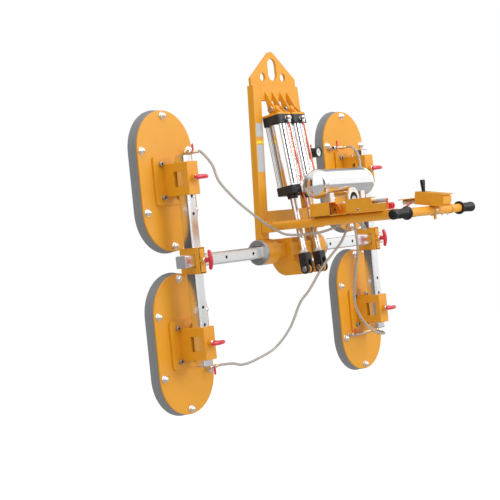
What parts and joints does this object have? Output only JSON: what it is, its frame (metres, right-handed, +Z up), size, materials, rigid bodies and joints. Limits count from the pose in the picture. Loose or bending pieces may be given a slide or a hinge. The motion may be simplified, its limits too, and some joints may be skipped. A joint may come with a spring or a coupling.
{
  "type": "tilting vacuum lifter",
  "caption": "Hanging vacuum lifter for stone panels: rubber-sealed pads on adjustable square tubes, tilted by pneumatic cylinders, with a handle bar and control console.",
  "frame": {"origin": "where the hoist hook bears, at the top of the lug's slot", "axes": "+Z up, +Y from the frame towards the panel, +X along the tilt axis"},
  "size_m": [1.6032, 0.9672, 1.481],
  "materials": {
    "orange_paint": "semi-gloss powder coat",
    "zinc_tube": "bright zinc",
    "polished_steel": "polished",
    "black_cast": "black anodised",
    "grey_rubber": "matt",
    "black_grip": "matt",
    "red_plastic": "gloss",
    "clear_hose": "clear, braided",
    "orange_tube": "satin",
    "white_flange": "satin"
  },
  "bodies": {
    "frame": {"lifting_lug": "orange_paint", "head_beam": "orange_paint", "upright_left": "orange_paint", "upright_right": "orange_paint", "cross_member": "orange_paint", "bearing_housing_left": "orange_paint", "bearing_housing_right": "orange_paint", "control_arm_left": "orange_paint", "control_arm_right": "orange_paint", "handle_bar": "orange_paint", "grip_left": "black_grip", "grip_right": "black_grip", "control_box": "orange_paint", "vacuum_tank": "polished_steel", "valve_enclosure": "orange_paint", "console_tray": "orange_paint", "vacuum_generator": "white_flange", "vacuum_gauge": "black_cast", "hose_upper_left": "clear_hose", "hose_lower_left": "clear_hose", "hose_lower_right": "clear_hose", "hose_upper_right": "clear_hose"},
    "beam": {"hub_tube": "orange_paint", "bearing_bush_left": "polished_steel", "bearing_bush_right": "polished_steel", "cross_tube": "zinc_tube", "tilt_lever_left": "orange_paint", "tilt_lever_right": "orange_paint"},
    "cylinder_left": {"tilt_cylinder_left": "black_cast", "air_tube_left": "orange_tube"},
    "rod_left": {"piston_rod_left": "polished_steel"},
    "cylinder_right": {"tilt_cylinder_right": "black_cast", "air_tube_right": "orange_tube"},
    "rod_right": {"piston_rod_right": "polished_steel"},
    "column_left": {"column_left": "zinc_tube"},
    "column_pin_left": {"column_pin_left": "red_plastic"},
    "column_right": {"column_right": "zinc_tube"},
    "column_pin_right": {"column_pin_right": "red_plastic"},
    "pad_upper_left": {"pad_sleeve_upper_left": "orange_paint", "pad_plate_upper_left": "orange_paint", "pad_seal_upper_left": "grey_rubber"},
    "sleeve_pin_upper_left": {"sleeve_pin_upper_left": "red_plastic"},
    "valve_lever_upper_left": {"valve_lever_upper_left": "red_plastic"},
    "pad_upper_right": {"pad_sleeve_upper_right": "orange_paint", "pad_plate_upper_right": "orange_paint", "pad_seal_upper_right": "grey_rubber"},
    "sleeve_pin_upper_right": {"sleeve_pin_upper_right": "red_plastic"},
    "valve_lever_upper_right": {"valve_lever_upper_right": "red_plastic"},
    "pad_lower_left": {"pad_sleeve_lower_left": "orange_paint", "pad_plate_lower_left": "orange_paint", "pad_seal_lower_left": "grey_rubber"},
    "sleeve_pin_lower_left": {"sleeve_pin_lower_left": "red_plastic"},
    "valve_lever_lower_left": {"valve_lever_lower_left": "red_plastic"},
    "pad_lower_right": {"pad_sleeve_lower_right": "orange_paint", "pad_plate_lower_right": "orange_paint", "pad_seal_lower_right": "grey_rubber"},
    "sleeve_pin_lower_right": {"sleeve_pin_lower_right": "red_plastic"},
    "valve_lever_lower_right": {"valve_lever_lower_right": "red_plastic"},
    "control_lever": {"control_lever": "black_grip"},
    "slide_valve": {"slide_valve": "red_plastic"}
  },
  "joints": [
    {"name": "tilt", "type": "hinge", "parent": "frame", "child": "beam", "pos_m": [0, 0, -0.832], "axis": [1, 0, 0], "range_deg": [-90, 0], "deforming": ["hose_upper_left", "hose_lower_left", "hose_lower_right", "hose_upper_right"]},
    {"name": "cylinder_swing_left", "type": "hinge", "parent": "frame", "child": "cylinder_left", "pos_m": [-0.052, -0.04, -0.228], "axis": [1, 0, 0], "range_deg": [-0.2, 1.4]},
    {"name": "rod_stroke_left", "type": "slide", "parent": "cylinder_left", "child": "rod_left", "axis": [0, 0.1244, 0.9922], "range_m": [-0.002, 0.2215]},
    {"name": "cylinder_swing_right", "type": "hinge", "parent": "frame", "child": "cylinder_right", "pos_m": [0.052, -0.04, -0.228], "axis": [1, 0, 0], "range_deg": [-0.2, 1.4]},
    {"name": "rod_stroke_right", "type": "slide", "parent": "cylinder_right", "child": "rod_right", "axis": [0, 0.1244, 0.9922], "range_m": [-0.002, 0.2215]},
    {"name": "column_slide_left", "type": "slide", "parent": "beam", "child": "column_left", "axis": [1, 0, 0], "range_m": [-0.03, 0.354], "deforming": ["hose_upper_left", "hose_lower_left"]},
    {"name": "column_pin_pull_left", "type": "slide", "parent": "column_left", "child": "column_pin_left", "axis": [0, -1, 0], "range_m": [0, 0.018], "stiffness_N_per_m": 400, "springref_m": -0.004},
    {"name": "column_slide_right", "type": "slide", "parent": "beam", "child": "column_right", "axis": [1, 0, 0], "range_m": [-0.354, 0.03], "deforming": ["hose_lower_right", "hose_upper_right"]},
    {"name": "column_pin_pull_right", "type": "slide", "parent": "column_right", "child": "column_pin_right", "axis": [0, -1, 0], "range_m": [0, 0.018], "stiffness_N_per_m": 400, "springref_m": -0.004},
    {"name": "pad_slide_upper_left", "type": "slide", "parent": "column_left", "child": "pad_upper_left", "axis": [0, 0, 1], "range_m": [-0.04, 0.02], "deforming": ["hose_upper_left"]},
    {"name": "sleeve_pin_pull_upper_left", "type": "slide", "parent": "pad_upper_left", "child": "sleeve_pin_upper_left", "axis": [0, -1, 0], "range_m": [0, 0.018], "stiffness_N_per_m": 400, "springref_m": -0.004},
    {"name": "valve_turn_upper_left", "type": "hinge", "parent": "pad_upper_left", "child": "valve_lever_upper_left", "pos_m": [-0.5156, 0.0532, -0.391], "axis": [0, 1, 0], "range_deg": [-90, 0]},
    {"name": "pad_slide_upper_right", "type": "slide", "parent": "column_right", "child": "pad_upper_right", "axis": [0, 0, 1], "range_m": [-0.04, 0.02], "deforming": ["hose_upper_right"]},
    {"name": "sleeve_pin_pull_upper_right", "type": "slide", "parent": "pad_upper_right", "child": "sleeve_pin_upper_right", "axis": [0, -1, 0], "range_m": [0, 0.018], "stiffness_N_per_m": 400, "springref_m": -0.004},
    {"name": "valve_turn_upper_right", "type": "hinge", "parent": "pad_upper_right", "child": "valve_lever_upper_right", "pos_m": [0.5156, 0.0532, -0.391], "axis": [0, 1, 0], "range_deg": [0, 90]},
    {"name": "pad_slide_lower_left", "type": "slide", "parent": "column_left", "child": "pad_lower_left", "axis": [0, 0, 1], "range_m": [-0.02, 0.04], "deforming": ["hose_lower_left"]},
    {"name": "sleeve_pin_pull_lower_left", "type": "slide", "parent": "pad_lower_left", "child": "sleeve_pin_lower_left", "axis": [0, -1, 0], "range_m": [0, 0.018], "stiffness_N_per_m": 400, "springref_m": -0.004},
    {"name": "valve_turn_lower_left", "type": "hinge", "parent": "pad_lower_left", "child": "valve_lever_lower_left", "pos_m": [-0.5156, 0.0532, -1.273], "axis": [0, 1, 0], "range_deg": [0, 90]},
    {"name": "pad_slide_lower_right", "type": "slide", "parent": "column_right", "child": "pad_lower_right", "axis": [0, 0, 1], "range_m": [-0.02, 0.04], "deforming": ["hose_lower_right"]},
    {"name": "sleeve_pin_pull_lower_right", "type": "slide", "parent": "pad_lower_right", "child": "sleeve_pin_lower_right", "axis": [0, -1, 0], "range_m": [0, 0.018], "stiffness_N_per_m": 400, "springref_m": -0.004},
    {"name": "valve_turn_lower_right", "type": "hinge", "parent": "pad_lower_right", "child": "valve_lever_lower_right", "pos_m": [0.5156, 0.0532, -1.273], "axis": [0, 1, 0], "range_deg": [0, 90]},
    {"name": "control_lever_rock", "type": "hinge", "parent": "frame", "child": "control_lever", "pos_m": [-0.012, -0.711, -0.682], "axis": [1, 0, 0], "range_deg": [-14, 14], "stiffness_Nm_per_rad": 0.6},
    {"name": "slide_valve_shift", "type": "slide", "parent": "frame", "child": "slide_valve", "axis": [0, 1, 0], "range_m": [0, 0.01]}
  ],
  "couplings": [
    {"joint": "cylinder_swing_left", "follows": "tilt", "ratio": -0.012927},
    {"joint": "rod_stroke_left", "follows": "tilt", "m_per_rad": -0.13995},
    {"joint": "cylinder_swing_right", "follows": "tilt", "ratio": -0.012927},
    {"joint": "rod_stroke_right", "follows": "tilt", "m_per_rad": -0.13995}
  ]
}
